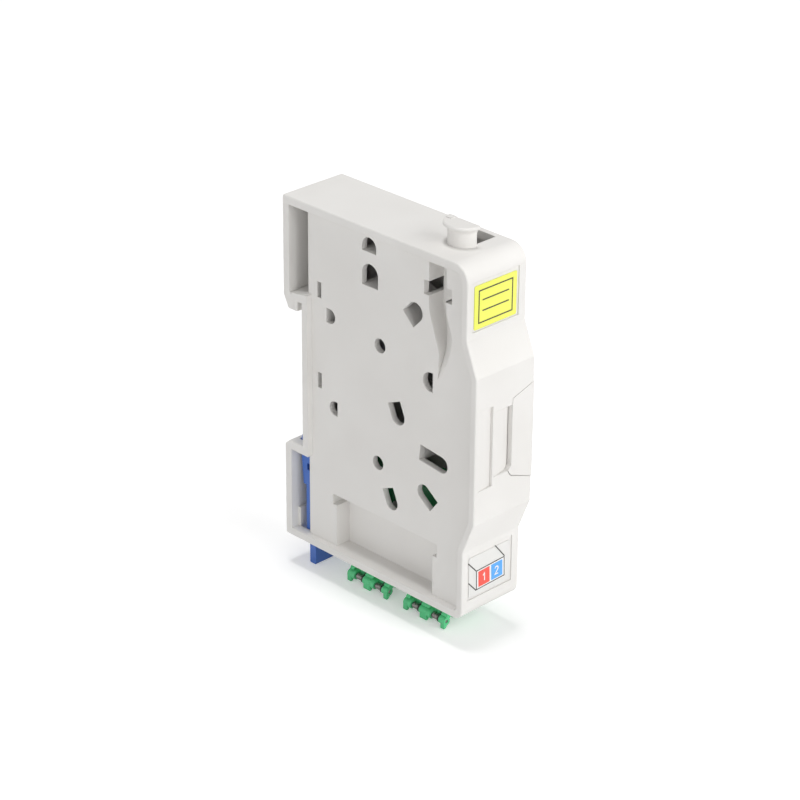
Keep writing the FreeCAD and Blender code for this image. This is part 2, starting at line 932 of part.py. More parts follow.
def latch_spring():
    """Compression spring of flat wire in the latch's slot, standing on the housing's lug."""
    low = spring_low()
    high = latch_step_z() - 0.6
    y = -hollow_front + latch_play + latch_wall / 2 + 0.4
    height = high - low - latch_spring_wire
    radius = latch_spring_radius - latch_spring_wire / 2
    helix = Part.makeHelix(height / latch_spring_turns, height, radius)
    half = latch_spring_wire / 2
    corners = [V(radius + a * half, 0, b * half) for a, b in ((-1, -1), (1, -1), (1, 1), (-1, 1), (-1, -1))]
    coil = Part.Wire(helix.Edges).makePipeShell([Part.makePolygon(corners)], True, True)
    coil.translate(V(0, y, low + half))
    return coil


def coupler_half(centre, low, high, mouth_z):
    """One half of a coupler: a box with two ports open at mouth_z and a sleeve holder in each."""
    half = coupler_width / 2
    towards = 1 if mouth_z > coupler_split else -1
    body = block(coupler_x0, coupler_x1, centre - half, centre + half, low, high)
    long_edges = [edge for edge in body.Edges if edge.BoundBox.ZLength > 1]
    body = body.makeChamfer(coupler_chamfer, long_edges)
    web = coupler_split + towards * web_wall
    z0, z1 = sorted((web, mouth_z + towards * through))
    holder_end = coupler_split + towards * (sleeve_length / 2 + sleeve_lip)
    h0, h1 = sorted((coupler_split, holder_end))
    b0, b1 = sorted((coupler_split, coupler_split + towards * sleeve_length / 2))
    for y in port_places(centre):
        body = body.cut(block(port_x0, port_x1, y - port_width / 2, y + port_width / 2, z0, z1))
        body = body.cut(
            block(port_x1 - 0.1, port_x1 + key_depth, y - key_width / 2, y + key_width / 2, z0, z1)
        )
        body = body.fuse(rod_z(sleeve_x, y, holder_radius, h0, h1))
        body = body.cut(rod_z(sleeve_x, y, sleeve_outer + sleeve_play, b0, b1))
        body = body.cut(rod_z(sleeve_x, y, sleeve_inner + 0.1, h0, h1))
    return body


def port_places(centre):
    return [centre + port_pitch / 2, centre - port_pitch / 2]


def hinge_lugs(centre):
    """Three eyes for the pin, each with a blade that guards the hinge from below."""
    edge = coupler_width / 2
    foot = prism_y(
        [
            (coupler_x0 + 0.2, coupler_low + lug_root_rise, 0),
            (pin_x, pin_z + lug_boss_radius + lug_bend_rise, 0),
            (pin_x, pin_z, 0),
            (coupler_x0, coupler_low, 0),
            (coupler_x0 + 0.2, coupler_low, 0),
        ],
        centre - edge,
        centre + edge,
    )
    blade = prism_y(
        [
            (pin_x, pin_z + lug_boss_radius, 0),
            (pin_x - lug_blade_out, pin_z, 0),
            (pin_x - lug_blade_out, pin_z - lug_blade_drop, 0),
            (pin_x - lug_blade_out + lug_blade_wall, pin_z - lug_blade_drop, 0),
            (pin_x + lug_boss_radius * 0.8, pin_z - 0.2, 0),
        ],
        centre - edge,
        centre + edge,
    )
    eye = rod_y(pin_x, pin_z, lug_boss_radius, centre - edge, centre + edge)
    inner = edge - lug_outer_width
    stack = ear_width + spring_length + washer_wall + 4 * ear_play
    lugs = []
    for y0, y1, step in (
        (inner, edge, 0),
        (inner - port_pitch, inner - stack, blade_step),
        (-edge, inner - stack - port_pitch, 2 * blade_step),
    ):
        upper = foot.fuse(eye).common(block(pin_x - 2, coupler_x0 + 1, centre + y0, centre + y1, pin_z - 9, 0))
        lower = blade.common(
            block(pin_x - 2, coupler_x0 + 1, centre + y0, centre + y1 - step, pin_z - 9, 0)
        )
        lugs += [upper, lower]
    return lugs


def hinge_stack(centre, place):
    """Ends along Y of the ear, the spring and the washer on the pin, for the first or second port."""
    top = centre + coupler_width / 2 - lug_outer_width - place * port_pitch
    ear_high = top - ear_play
    spring_high = ear_high - ear_width - ear_play
    washer_high = spring_high - spring_length - ear_play
    return ear_high, spring_high, washer_high


def coupler_outer_half(centre):
    body = coupler_half(centre, coupler_low, coupler_split, coupler_low)
    body = body.fuse(hinge_lugs(centre))
    bore = rod_y(pin_x, pin_z, pin_radius + pin_play, centre - coupler_width, centre + coupler_width)
    return body.cut(bore).removeSplitter()


def coupler_inner_half(centre):
    body = coupler_half(centre, coupler_split, coupler_high, coupler_high)
    half = coupler_width / 2
    wings = []
    for y0, y1 in ((half - 0.2, half + flange_wing), (-half - flange_wing, -half + 0.2)):
        wings.append(
            block(coupler_x0 + 0.8, coupler_x1 - 1.8, centre + y0, centre + y1, flange_low, flange_high)
        )
    return body.fuse(wings).removeSplitter()


def alignment_sleeve(centre):
    low = coupler_split - sleeve_length / 2
    high = coupler_split + sleeve_length / 2
    tube = rod_z(sleeve_x, centre, sleeve_outer, low + 0.05, high - 0.05).cut(
        rod_z(sleeve_x, centre, sleeve_inner, low - 1, high + 1)
    )
    slit = block(
        sleeve_x, sleeve_x + 1, centre - sleeve_slit / 2, centre + sleeve_slit / 2, low - 1, high + 1
    )
    return tube.cut(slit)


def hinge_pin(centre):
    reach = coupler_width / 2 - pin_end_play
    return rod_y(pin_x, pin_z, pin_radius, centre - reach, centre + reach)


def shutter(centre, place):
    """Door over one port; its ear turns on the hinge pin beside the lug."""
    high = coupler_low - door_gap
    low = high - door_wall
    side = 1 - 2 * place
    edge = coupler_width / 2 - door_margin
    y0, y1 = sorted((centre + side * door_play, centre + side * edge))
    left = coupler_x0 + door_margin
    right = coupler_x1 - door_margin
    door = block(left, right, y0, y1, low, high)
    ear_high = hinge_stack(centre, place)[0]
    ear_low = ear_high - ear_width
    arm = block(pin_x, left + door_margin, ear_low, ear_high, low, high)
    strip_end = hinge_stack(centre, place)[2] - washer_wall
    strip = block(pin_x + spring_outer + door_strip_gap, left + door_margin, strip_end, ear_high, low, high)
    body = door.fuse([arm, strip, rod_y(pin_x, pin_z, ear_radius, ear_low, ear_high)])
    bore = rod_y(pin_x, pin_z, pin_radius + pin_play, ear_low - 1, ear_high + 1)
    lip = block(
        right - door_lip_wall - door_lip_inset, right - door_lip_inset, y0 + door_lip_inset, y1 - door_lip_inset,
        low - door_lip, low + 0.1,
    )
    return body.cut(bore).fuse(lip).removeSplitter()


def shutter_spring(centre, place):
    """Torsion spring: its closed turns as one barrel on the pin, and the leg on the coupler."""
    high = hinge_stack(centre, place)[1]
    low = high - spring_length
    barrel = rod_y(pin_x, pin_z, spring_outer, low, high)
    wire = spring_wire / 2
    foot = V(pin_x, low + wire, pin_z + spring_outer - wire)
    tip = V(coupler_x0, low + wire, coupler_low + spring_leg_rise)
    leg = Part.makeCylinder(wire, (tip - foot).Length, foot, tip - foot)
    leg = leg.cut(block(coupler_x0, coupler_x1, low - 1, high + 1, coupler_low - 2, coupler_low + 5))
    bore = rod_y(pin_x, pin_z, pin_radius + pin_play, low - 1, high + 1)
    return barrel.fuse(leg).cut(bore).removeSplitter()


def hinge_washer(centre, place):
    """Black ring between the spring and the next lug."""
    high = hinge_stack(centre, place)[2]
    low = high - washer_wall
    ring = rod_y(pin_x, pin_z, washer_radius, low, high)
    return ring.cut(rod_y(pin_x, pin_z, pin_radius + pin_play, low - 1, high + 1))


def label(low):
    """Film with rounded corners, stuck a little low in its recess."""
    half = label_recess_width / 2 - label_play
    x0 = label_recess_shift - half
    x1 = label_recess_shift + half
    z0 = low + label_play_low
    z1 = low + label_recess_height - label_play_high
    floor = panel_y + label_recess
    corners = [(x0, z0), (x1, z0), (x1, z1), (x0, z1)]
    return prism_y([(x, z, label_corner) for x, z in corners], floor - label_thickness, floor)


def splice_holder():
    """Comb in which the splice sleeves lie one above the other."""
    splice_pitch = (cover_in - plate_in - splice_side_play) / splice_count
    x0 = plate_in + splice_lift
    y1 = tray_rear
    y0 = y1 - splice_thickness
    high = splice_low + splice_length
    body = block(x0, x0 + splice_pitch * splice_count, y0, y1, splice_low, high)
    for n in range(splice_count):
        x = x0 + splice_pitch * (n + 0.5)
        y = y0 + splice_radius + splice_floor
        body = body.cut(rod_z(x, y, splice_radius, splice_low - 1, high + 1))
        body = body.cut(block(x - splice_mouth, x + splice_mouth, y0 - 1, y, splice_low - 1, high + 1))
    return body.removeSplitter()


def save(name, shape):
    if not shape.isValid():
        print("not valid:", name)
    if len(shape.Solids) != 1:
        print("solids in", name, len(shape.Solids))
    shape.exportStep("parts/" + name + ".step")
    print(name, round(shape.Volume, 1), "mm3")


def main():
    os.makedirs("parts", exist_ok=True)
    save("base_shell", base_shell())
    save("side_cover", side_cover())
    save("rail_latch", rail_latch())
    save("latch_spring", latch_spring())
    save("splice_holder", splice_holder())
    for name, low in zip(("upper_label", "lower_label"), label_lows()):
        save(name, label(low))
    for number, centre in enumerate(coupler_centres, start=1):
        prefix = "coupler_" + str(number)
        save(prefix + "_outer_half", coupler_outer_half(centre))
        save(prefix + "_inner_half", coupler_inner_half(centre))
        save(prefix + "_hinge_pin", hinge_pin(centre))
        for place, y in enumerate(port_places(centre)):
            letter = "ab"[place]
            save(prefix + "_sleeve_" + letter, alignment_sleeve(y))
            save(prefix + "_shutter_" + letter, shutter(centre, place))
            save(prefix + "_spring_" + letter, shutter_spring(centre, place))
            save(prefix + "_washer_" + letter, hinge_washer(centre, place))


main()
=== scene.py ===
# %% [markdown]
# # A slim fibre box
# This lesson dresses a slim grey plastic box in which fibre ends are spliced and led to
# couplers. Its solids are made already and are the fixed frame. Here they get their
# finishes, the print on their labels, round wire springs, a floor, lamps and a camera.
# First the frame is loaded. Its first box is kept, because nothing that is added
# later may reach out of it.

# %% Load the frame
import json
import math

import bmesh
import bpy
from mathutils import Matrix, Vector


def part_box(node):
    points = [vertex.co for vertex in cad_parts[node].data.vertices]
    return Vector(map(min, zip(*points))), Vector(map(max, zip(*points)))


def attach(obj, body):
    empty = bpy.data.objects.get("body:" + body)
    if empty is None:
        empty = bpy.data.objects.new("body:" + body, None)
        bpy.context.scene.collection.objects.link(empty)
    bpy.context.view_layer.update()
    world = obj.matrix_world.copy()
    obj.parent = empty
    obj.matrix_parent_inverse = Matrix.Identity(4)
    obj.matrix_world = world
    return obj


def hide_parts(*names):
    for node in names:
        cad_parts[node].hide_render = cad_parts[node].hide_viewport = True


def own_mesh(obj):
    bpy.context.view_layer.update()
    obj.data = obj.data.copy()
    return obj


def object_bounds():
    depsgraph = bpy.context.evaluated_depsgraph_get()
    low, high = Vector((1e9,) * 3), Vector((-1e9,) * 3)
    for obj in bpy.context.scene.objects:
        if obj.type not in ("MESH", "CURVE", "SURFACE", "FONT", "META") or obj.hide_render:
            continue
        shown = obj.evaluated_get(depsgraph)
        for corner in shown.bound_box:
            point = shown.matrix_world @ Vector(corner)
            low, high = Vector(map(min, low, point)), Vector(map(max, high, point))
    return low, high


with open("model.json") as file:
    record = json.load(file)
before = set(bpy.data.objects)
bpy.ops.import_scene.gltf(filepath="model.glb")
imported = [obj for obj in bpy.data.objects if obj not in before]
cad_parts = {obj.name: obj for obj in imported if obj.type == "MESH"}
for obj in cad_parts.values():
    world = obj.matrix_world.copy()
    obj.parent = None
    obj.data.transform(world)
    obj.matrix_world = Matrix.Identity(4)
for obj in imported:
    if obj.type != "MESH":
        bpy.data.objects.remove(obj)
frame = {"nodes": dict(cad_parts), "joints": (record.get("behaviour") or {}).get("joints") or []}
cad_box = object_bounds()
print("pieces of the frame:", len(frame["nodes"]))
print("box in millimetres:", [round((b - a) * 1000, 1) for a, b in zip(*cad_box)])

# %% [markdown]
# ## The camera
# The real box was photographed with a long lens from the front left, a little from
# above. A long lens keeps the upright edges nearly parallel. The place of the camera
# is worked out from the direction of view, the distance and how far the box sits from
# the middle of the picture. Writing it that way shows what each number does.

# %% Place the camera
VIEW_AZIMUTH = -44.847
VIEW_ELEVATION = 26.102
VIEW_ROLL = 0.482
VIEW_DISTANCE = 0.61650
VIEW_RIGHT = 0.01353
VIEW_UP = -0.04899
VIEW_TARGET = Vector((-0.009, -0.05134, -0.0425))
FOCAL_LENGTH = 125.75
SENSOR_WIDTH = 36.0
NEAREST, FARTHEST = 0.01, 20.0


def camera_axes(azimuth, elevation, roll):
    a, e, r = (math.radians(v) for v in (azimuth, elevation, roll))
    back = Vector((math.sin(a) * math.cos(e), -math.cos(a) * math.cos(e), math.sin(e)))
    right = Vector((math.cos(a), math.sin(a), 0))
    up = back.cross(right)
    return (
        right * math.cos(r) + up * math.sin(r),
        up * math.cos(r) - right * math.sin(r),
        back,
    )


right, up, back = camera_axes(VIEW_AZIMUTH, VIEW_ELEVATION, VIEW_ROLL)
camera = bpy.data.objects.new("camera", bpy.data.cameras.new("camera"))
bpy.context.scene.collection.objects.link(camera)
camera.data.lens = FOCAL_LENGTH
camera.data.sensor_width = SENSOR_WIDTH
camera.data.clip_start = NEAREST
camera.data.clip_end = FARTHEST
camera.matrix_world = Matrix((right, up, back)).transposed().to_4x4()
camera.location = VIEW_TARGET - right * VIEW_RIGHT - up * VIEW_UP + back * VIEW_DISTANCE
bpy.context.scene.camera = camera
print("camera stands at", [round(v, 3) for v in camera.location])

# %% [markdown]
# ## Helpers for finishes
# A finish is a small network of nodes. It could be wired by hand in the shader editor;
# here three short helpers do it: one starts a group with named sockets, one adds a node
# and sets it, and one adds a sum whose inputs may be numbers or other nodes.

# %% Start a node group, add a node, add a sum
def new_group(title, inputs, outputs):
    tree = bpy.data.node_groups.new(title, "ShaderNodeTree")
    for name, kind, value in inputs:
        socket = tree.interface.new_socket(name, in_out="INPUT", socket_type=kind)
        socket.default_value = value
    for name, kind in outputs:
        tree.interface.new_socket(name, in_out="OUTPUT", socket_type=kind)
    return tree, tree.nodes.new("NodeGroupInput"), tree.nodes.new("NodeGroupOutput")


def add(tree, kind, **settings):
    node = tree.nodes.new(kind)
    for name, value in settings.items():
        setattr(node, name, value)
    return node


def sum_node(tree, operation, first, second):
    node = add(tree, "ShaderNodeMath", operation=operation)
    for socket, value in zip(node.inputs, (first, second)):
        if isinstance(value, (int, float)):
            socket.default_value = value
        else:
            tree.links.new(value, socket)
    return node.outputs[0]


print("helpers:", new_group.__name__, add.__name__, sum_node.__name__)

# %% [markdown]
# Two effects come back in nearly every finish, so each is built once as a group.
# The first is the skin of a moulded part: the fine grain that a spark-eroded mould
# leaves, and a slow cloud that shifts the colour a little. A photo texture could do it
# too, but noise in object space has no seams and no fixed resolution.

# %% Group: skin of a moulded part
GRAIN_DETAIL = 3.0
CLOUD_DETAIL = 2.0


def make_skin_group():
    tree, start, end = new_group(
        "Moulded skin",
        [("Grain size", "NodeSocketFloat", 0.0003), ("Cloud size", "NodeSocketFloat", 0.02)],
        [("Height", "NodeSocketFloat"), ("Cloud", "NodeSocketFloat")],
    )
    place = add(tree, "ShaderNodeTexCoord")
    noises = (("Grain size", GRAIN_DETAIL, "Height"), ("Cloud size", CLOUD_DETAIL, "Cloud"))
    for size, detail, target in noises:
        noise = add(tree, "ShaderNodeTexNoise")
        noise.inputs["Detail"].default_value = detail
        tree.links.new(place.outputs["Object"], noise.inputs["Vector"])
        tree.links.new(sum_node(tree, "DIVIDE", 1.0, start.outputs[size]), noise.inputs["Scale"])
        tree.links.new(noise.outputs["Fac"], end.inputs[target])
    return tree


skin_group = make_skin_group()
print("group", skin_group.name, "with", len(skin_group.nodes), "nodes")

# %% [markdown]
# The second group softens edges. A moulded edge is never knife sharp: it has a tiny
# round that catches the light. The Bevel node bends the normals near an edge as if
# that round were there. Where the bent normal leaves the true one, the group also
# gives a mask, which the finishes use for the slight polish that edges get.

# %% Group: soft edge
BEVEL_SAMPLES = 6
MASK_GAIN = 3.0


def make_edge_group():
    tree, start, end = new_group(
        "Soft edge",
        [("Radius", "NodeSocketFloat", 0.0002)],
        [("Normal", "NodeSocketVector"), ("Edge", "NodeSocketFloat")],
    )
    bevel = add(tree, "ShaderNodeBevel", samples=BEVEL_SAMPLES)
    tree.links.new(start.outputs["Radius"], bevel.inputs["Radius"])
    tree.links.new(bevel.outputs["Normal"], end.inputs["Normal"])
    true_normal = add(tree, "ShaderNodeNewGeometry")
    dot = add(tree, "ShaderNodeVectorMath", operation="DOT_PRODUCT")
    tree.links.new(bevel.outputs["Normal"], dot.inputs[0])
    tree.links.new(true_normal.outputs["Normal"], dot.inputs[1])
    away = sum_node(tree, "SUBTRACT", 1.0, dot.outputs["Value"])
    tree.links.new(sum_node(tree, "MULTIPLY", away, MASK_GAIN), end.inputs["Edge"])
    return tree


edge_group = make_edge_group()
print("group", edge_group.name, "with", len(edge_group.nodes), "nodes")

# %% [markdown]
# The sockets of a group are set when it is placed in a material. A ramp turns one range
# of numbers into another, and a mix goes from one colour to a second. With these the
# networks below stay short enough to read.

# %% Place a group, ramp a value, mix two colours
def place_group(tree, group, **values):
    node = add(tree, "ShaderNodeGroup", node_tree=group)
    for name, value in values.items():
        node.inputs[name.replace("_", " ")].default_value = value
    return node


def ramp(tree, source, low, high, at_low, at_high):
    node = add(tree, "ShaderNodeMapRange")
    tree.links.new(source, node.inputs["Value"])
    node.inputs["From Min"].default_value = low
    node.inputs["From Max"].default_value = high
    node.inputs["To Min"].default_value = at_low
    node.inputs["To Max"].default_value = at_high
    return node.outputs["Result"]


def mix_colours(tree, factor, first, second):
    node = add(tree, "ShaderNodeMix", data_type="RGBA")
    tree.links.new(factor, node.inputs["Factor"])
    colour_inputs = [s for s in node.inputs if s.type == "RGBA"]
    for socket, value in zip(colour_inputs, (first, second)):
        socket.default_value = (*value, 1.0)
    return next(s for s in node.outputs if s.type == "RGBA")


print("helpers:", place_group.__name__, ramp.__name__, mix_colours.__name__)

# %% [markdown]
# Moulded plastic is one finish with other numbers on each piece: two close colours that
# the cloud mixes, a roughness that drops a little on polished edges, and a bump from
# the grain on top of the softened normals. The bump is only hundredths of a millimetre
# deep, because everything larger is real geometry. A spark-eroded skin scatters most of
# the light that a polished one would mirror, so the housing has less gloss than the rest.

# %% A finish for moulded plastic
CLOUD_LOW, CLOUD_HIGH = 0.35, 0.65
EDGE_POLISH = 0.08


def new_material(title):
    material = bpy.data.materials.new(title)
    material.use_nodes = True
    return material, material.node_tree, material.node_tree.nodes["Principled BSDF"]


def plastic(title, dark, light, rough, grain=0.0003, relief=0.00001, edge=0.0002, gloss=0.5):
    material, tree, shader = new_material(title)
    skin = place_group(tree, skin_group, Grain_size=grain)
    soft = place_group(tree, edge_group, Radius=edge)
    cloud = ramp(tree, skin.outputs["Cloud"], CLOUD_LOW, CLOUD_HIGH, 0, 1)
    tree.links.new(mix_colours(tree, cloud, dark, light), shader.inputs["Base Color"])
    shader.inputs["Specular IOR Level"].default_value = gloss
    shine = ramp(tree, soft.outputs["Edge"], 0.0, 1.0, rough, rough - EDGE_POLISH)
    tree.links.new(shine, shader.inputs["Roughness"])
    bump = add(tree, "ShaderNodeBump")
    bump.inputs["Distance"].default_value = relief
    tree.links.new(skin.outputs["Height"], bump.inputs["Height"])
    tree.links.new(soft.outputs["Normal"], bump.inputs["Normal"])
    tree.links.new(bump.outputs["Normal"], shader.inputs["Normal"])
    return material


print("plastic() takes a title, two colours and a roughness")

# %% [markdown]
# ## Finishes of this box
# The housing is light grey polycarbonate with a fine matte grain. The latch is a
# deep blue, glossier nylon. The couplers are the green that marks angled fibre ends.

# %% Plastics
housing = plastic("housing plastic", (0.768, 0.752, 0.727), (0.798, 0.784, 0.761), 0.56, gloss=0.2)
latch_blue = plastic("latch nylon", (0.045, 0.140, 0.50), (0.060, 0.165, 0.56), 0.34)
coupler_green = plastic("coupler plastic", (0.095, 0.60, 0.25), (0.12, 0.69, 0.30), 0.36)
ceramic = plastic("sleeve ceramic", (0.80, 0.79, 0.76), (0.85, 0.84, 0.82), 0.15, relief=0.000002)
# The washer finish is painted shade: it is near black so that it stands for the shadowed gap beside
# each hinge ear.
painted_gap_shade = plastic("washer rubber", (0.012, 0.012, 0.012), (0.020, 0.020, 0.020), 0.55)
print("plastics:", len(bpy.data.materials))

# %% [markdown]
# The springs and hinge pins are drawn wire. Drawing leaves fine lengthwise streaks, so the
# roughness changes from place to place while the metal stays bare.

# %% Steel
STEEL_DARK, STEEL_LIGHT = (0.21, 0.197, 0.19), (0.36, 0.34, 0.33)
STEEL_SMOOTH, STEEL_ROUGH = 0.24, 0.40


def drawn_steel(title):
    material, tree, shader = new_material(title)
    skin = place_group(tree, skin_group, Grain_size=0.0004, Cloud_size=0.003)
    colour = mix_colours(tree, skin.outputs["Cloud"], STEEL_DARK, STEEL_LIGHT)
    tree.links.new(colour, shader.inputs["Base Color"])
    shine = ramp(tree, skin.outputs["Height"], 0.3, 0.7, STEEL_SMOOTH, STEEL_ROUGH)
    tree.links.new(shine, shader.inputs["Roughness"])
    shader.inputs["Metallic"].default_value = 1.0
    return material


steel = drawn_steel("drawn steel")
print("steel nodes:", len(steel.node_tree.nodes))

# %% [markdown]
# The labels are printed film. The film itself is smooth and a little glossy, and each ink
# is its own finish. The lower film has nearly the colour of the housing.

# %% Films and inks
yellow_film = plastic("yellow film", (0.83, 0.86, 0.115), (0.87, 0.89, 0.14), 0.30, relief=0.000001)
white_film = plastic("white film", (0.735, 0.73, 0.71), (0.755, 0.75, 0.73), 0.45, relief=0.000001)
ink_dark = plastic("dark ink", (0.028, 0.027, 0.024), (0.045, 0.043, 0.038), 0.45, relief=0.000001)
ink_red = plastic("red ink", (0.84, 0.075, 0.055), (0.88, 0.095, 0.070), 0.40, relief=0.000001)
ink_blue = plastic("blue ink", (0.085, 0.36, 0.84), (0.10, 0.40, 0.88), 0.40, relief=0.000001)
ink_white = plastic("white ink", (0.84, 0.84, 0.83), (0.88, 0.88, 0.87), 0.40, relief=0.000001)
print("finishes in all:", len(bpy.data.materials))

# %% [markdown]
# ## Dress the frame
# Each solid keeps its mesh: the real pieces are plain mouldings, and the solids have
# their form already. Only the material slots are filled, by what the name of the node
# says it is, so a node that is added later gets its finish by itself.

# %% Give every node its finish
FINISH_OF = [
    ("upper_label", yellow_film),
    ("lower_label", white_film),
    ("sleeve", ceramic),
    ("hinge_pin", steel),
    # The washers carry the painted gap shade.
    ("washer", painted_gap_shade),
    ("spring", steel),
    ("rail_latch", latch_blue),
    ("splice_holder", latch_blue),
    ("coupler", coupler_green),
    ("base_shell", housing),
    ("side_cover", housing),
]
for name, node in frame["nodes"].items():
    node.data.materials.clear()
    node.data.materials.append(next(finish for part, finish in FINISH_OF if part in name))
print("dressed", len(frame["nodes"]), "nodes")

# %% [markdown]
# ## Print on the labels
# Ink lies on top of the film, thinner than a hair. Each line is a flat strip of mesh a
# little in front of the film. Strips join at their corners with a mitre, so a frame
# looks printed in one stroke.
#
# The lines could also be painted in a shader, but then they would need a mapping; as
# strips they keep sharp edges from any distance.

# %% Strips of ink
INK_LIFT = 0.00003


def ink_piece(name, loops, material, y):
    """Flat faces in the plane y; loops are closed outlines in (x, z)."""
    mesh = bpy.data.meshes.new(name)
    bm = bmesh.new()
    for loop in loops:
        bm.faces.new([bm.verts.new((x, y, z)) for x, z in loop])
    bm.to_mesh(mesh)
    bm.free()
    mesh.materials.append(material)
    piece = bpy.data.objects.new(name, mesh)
    bpy.context.scene.collection.objects.link(piece)
    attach(piece, "base")


def stroke(x0, z0, x1, z1, width):
    """A straight line of ink as one loop."""
    along = Vector((x1 - x0, z1 - z0)).normalized()
    side = Vector((-along.y, along.x)) * (width / 2)
    return [
        (x0 - side.x, z0 - side.y), (x1 - side.x, z1 - side.y),
        (x1 + side.x, z1 + side.y), (x0 + side.x, z0 + side.y),
    ]


def hollow_frame(x0, z0, x1, z1, width):
    """Four mitred strips round a rectangle."""
    w = width
    return [
        [(x0, z0), (x1, z0), (x1 - w, z0 + w), (x0 + w, z0 + w)],
        [(x1, z0), (x1, z1), (x1 - w, z1 - w), (x1 - w, z0 + w)],
        [(x1, z1), (x0, z1), (x0 + w, z1 - w), (x1 - w, z1 - w)],
        [(x0, z1), (x0, z0), (x0 + w, z0 + w), (x0 + w, z1 - w)],
    ]


print("ink lies", INK_LIFT * 1000, "mm in front of its film")

# %% [markdown]
# The upper label is a plain yellow sticker to write on: a thin frame and two lines.
# Both are set out from the film's own box, so they follow the label if it changes.

# %% Upper label: a frame and two writing lines
film_low, film_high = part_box("upper_label")
ink_y = film_low.y - INK_LIFT
MARGIN = 0.0012
LINE = 0.00030
LINE_SHARES = (0.36, 0.68)
left, right_x = film_low.x + MARGIN, film_high.x - MARGIN
low, high = film_low.z + MARGIN, film_high.z - MARGIN
loops = hollow_frame(left, low, right_x, high, LINE)
for share in LINE_SHARES:
    z = low + (high - low) * share
    loops.append(stroke(left + MARGIN, z, right_x - MARGIN, z, LINE))
ink_piece("upper_label_print", loops, ink_dark, ink_y)
print("writing field", round((right_x - left) * 1000, 1), "mm wide")

# %% [markdown]
# The lower film shows the two ports as a drawn box with a red and a blue field. It was
# stuck on by hand and sits a little turned, so the drawing is made flat first, in
# millimetres round its right edge, and then turned and moved to the film.

# %% Lower label: the two numbered ports
film_low, film_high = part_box("lower_label")
ink_y = film_low.y - INK_LIFT
PRINT_TURN = math.radians(1.9)
PRINT_RIGHT = (0.0047, -0.0336)
BOX_WIDE, BOX_HIGH = 0.0091, 0.0050
LINE_WIDE = 0.00026
FIELD_RIM = 0.00045
FIELD_GAP = 0.0005
TOP_LEAN = (-0.0030, 0.0039)
LEFT_LEAN = (-0.0024, 0.0028)


def on_film(points):
    """Turns points (u to the right, v up, from the middle of the box's right edge) onto the film."""
    c, s = math.cos(PRINT_TURN), math.sin(PRINT_TURN)
    return [(PRINT_RIGHT[0] + u * c - v * s, PRINT_RIGHT[1] + u * s + v * c) for u, v in points]


def rectangle(u0, v0, u1, v1):
    return on_film([(u0, v0), (u1, v0), (u1, v1), (u0, v1)])


half = BOX_HIGH / 2
lines = [on_film(loop) for loop in hollow_frame(-BOX_WIDE, -half, 0, half, LINE_WIDE)]
corners = ((0, half, TOP_LEAN), (-BOX_WIDE, half, LEFT_LEAN), (-BOX_WIDE, -half, LEFT_LEAN))
for u, v, (lean_u, lean_v) in corners:
    lines.append(on_film(stroke(u + lean_u, v + lean_v, u, v, LINE_WIDE)))
ink_piece("lower_label_print", lines, ink_dark, ink_y)
inner_left = -BOX_WIDE + LINE_WIDE
rim = rectangle(inner_left, -half + LINE_WIDE, -LINE_WIDE, half - LINE_WIDE)
ink_piece("white_rim", [rim], ink_white, ink_y)
field_left = inner_left + FIELD_RIM
field_right = -LINE_WIDE - FIELD_RIM
field_half = half - LINE_WIDE - FIELD_RIM * 0.6
field_middle = (field_left + field_right) / 2
red = rectangle(field_left, -field_half, field_middle - FIELD_GAP / 2, field_half)
blue = rectangle(field_middle + FIELD_GAP / 2, -field_half, field_right, field_half)
ink_piece("red_field", [red], ink_red, ink_y - INK_LIFT)
ink_piece("blue_field", [blue], ink_blue, ink_y - INK_LIFT)
print("fields are", round((field_middle - field_left) * 1000, 2), "mm wide")

# %% [markdown]
# Each digit is one stroke of a pen with an even width. A ribbon is laid along a line of
# points; at each point its two sides are set out along the mitre of the neighbouring
# runs, so corners stay sharp and the curve of the 2 stays smooth.

# %% Digits
SHARPEST_MITRE = 0.5
FLAG_WIDE, FLAG_DEEP = 0.25, 0.28
BOWL = 0.27
BOWL_ANGLES = range(165, -46, -15)


def ribbon(points, width):
    """Quads that follow the points with an even width."""
    sides = []
    for n, here in enumerate(points):
        before = here - points[n - 1] if n else points[1] - here
        after = points[n + 1] - here if n + 1 < len(points) else before
        normal = (before.normalized() + after.normalized()).normalized()
        mitre = max(SHARPEST_MITRE, normal.dot(after.normalized()))
        across = Vector((-normal.y, normal.x)) * (width / 2 / mitre)
        sides.append((here - across, here + across))
    return [
        [tuple(a0), tuple(b0), tuple(b1), tuple(a1)]
        for (a0, a1), (b0, b1) in zip(sides, sides[1:])
    ]


def digit_one(u, height):
    flag = Vector((u - height * FLAG_WIDE, height / 2 - height * FLAG_DEEP))
    return [flag, Vector((u, height / 2)), Vector((u, -height / 2))]


def digit_two(u, height):
    radius = height * BOWL
    centre = Vector((u, height / 2 - radius))
    arc = [
        centre + Vector((math.cos(math.radians(a)), math.sin(math.radians(a)))) * radius
        for a in BOWL_ANGLES
    ]
    return arc + [Vector((u - radius, -height / 2)), Vector((u + radius, -height / 2))]


DIGIT_HEIGHT = 0.0019
DIGIT_PEN = 0.00030
for name, draw, u in (
    ("digit_one", digit_one, (field_left + field_middle) / 2),
    ("digit_two", digit_two, (field_middle + field_right) / 2),
):
    quads = [on_film(quad) for quad in ribbon(draw(u, DIGIT_HEIGHT), DIGIT_PEN)]
    ink_piece(name, quads, ink_white, ink_y - 2 * INK_LIFT)
    print(name, "is drawn with", len(quads), "quads")

# %% [markdown]
# ## Wound springs
# In the solids each torsion spring is a plain barrel, and the latch spring is of square
# wire. The real ones are wound from round wire. A circle swept along a helix gives that:
# at each point of the path a ring of vertices is set square to the path, and rings are
# joined by faces.

